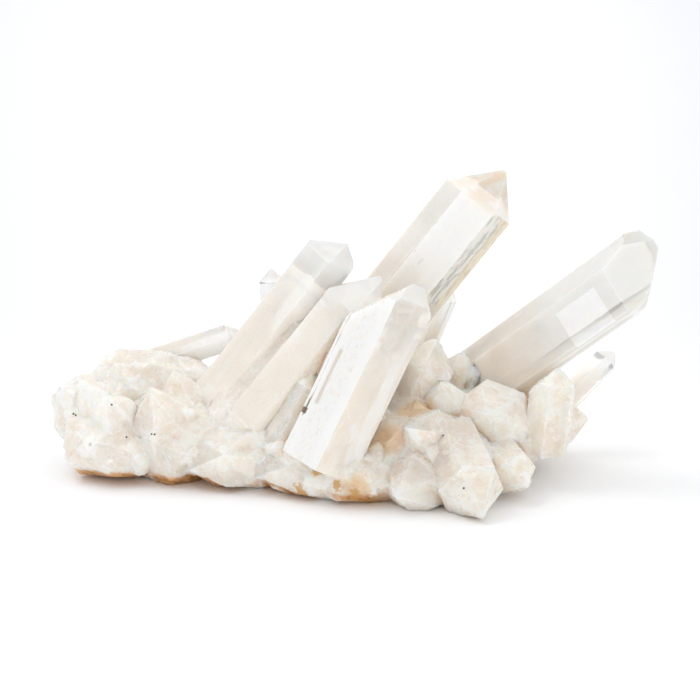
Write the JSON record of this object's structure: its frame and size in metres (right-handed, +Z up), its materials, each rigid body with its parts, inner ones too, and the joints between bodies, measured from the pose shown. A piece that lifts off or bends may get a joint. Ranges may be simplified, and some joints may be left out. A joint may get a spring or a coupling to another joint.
{
  "type": "clear quartz cluster",
  "caption": "Clear quartz cluster: long six-sided points with sloping tips lean out of a milky mass of smaller intergrown crystals that is flat underneath.",
  "frame": {"origin": "on the surface that the cluster stands on, under the middle of its bounding box", "axes": "+Z up, +X along the cluster towards the long right-hand point, -Y towards the front"},
  "size_m": [0.1488, 0.0724, 0.0741],
  "materials": {
    "milky_quartz": "milky white to faintly pink-beige quartz, glassy on its small faces, with orange-brown iron stain along the lower rim",
    "clear_quartz": "clear to slightly smoky quartz with smooth lustrous faces, hazy towards the root and clearest at the tip"
  },
  "bodies": {
    "root": {"milky_mass": "milky_quartz", "centre_bundle": "clear_quartz", "tall_point": "clear_quartz", "right_point": "clear_quartz", "lying_point": "clear_quartz", "back_left_point": "clear_quartz", "back_right_point": "clear_quartz", "far_right_point": "clear_quartz"}
  },
  "joints": []
}
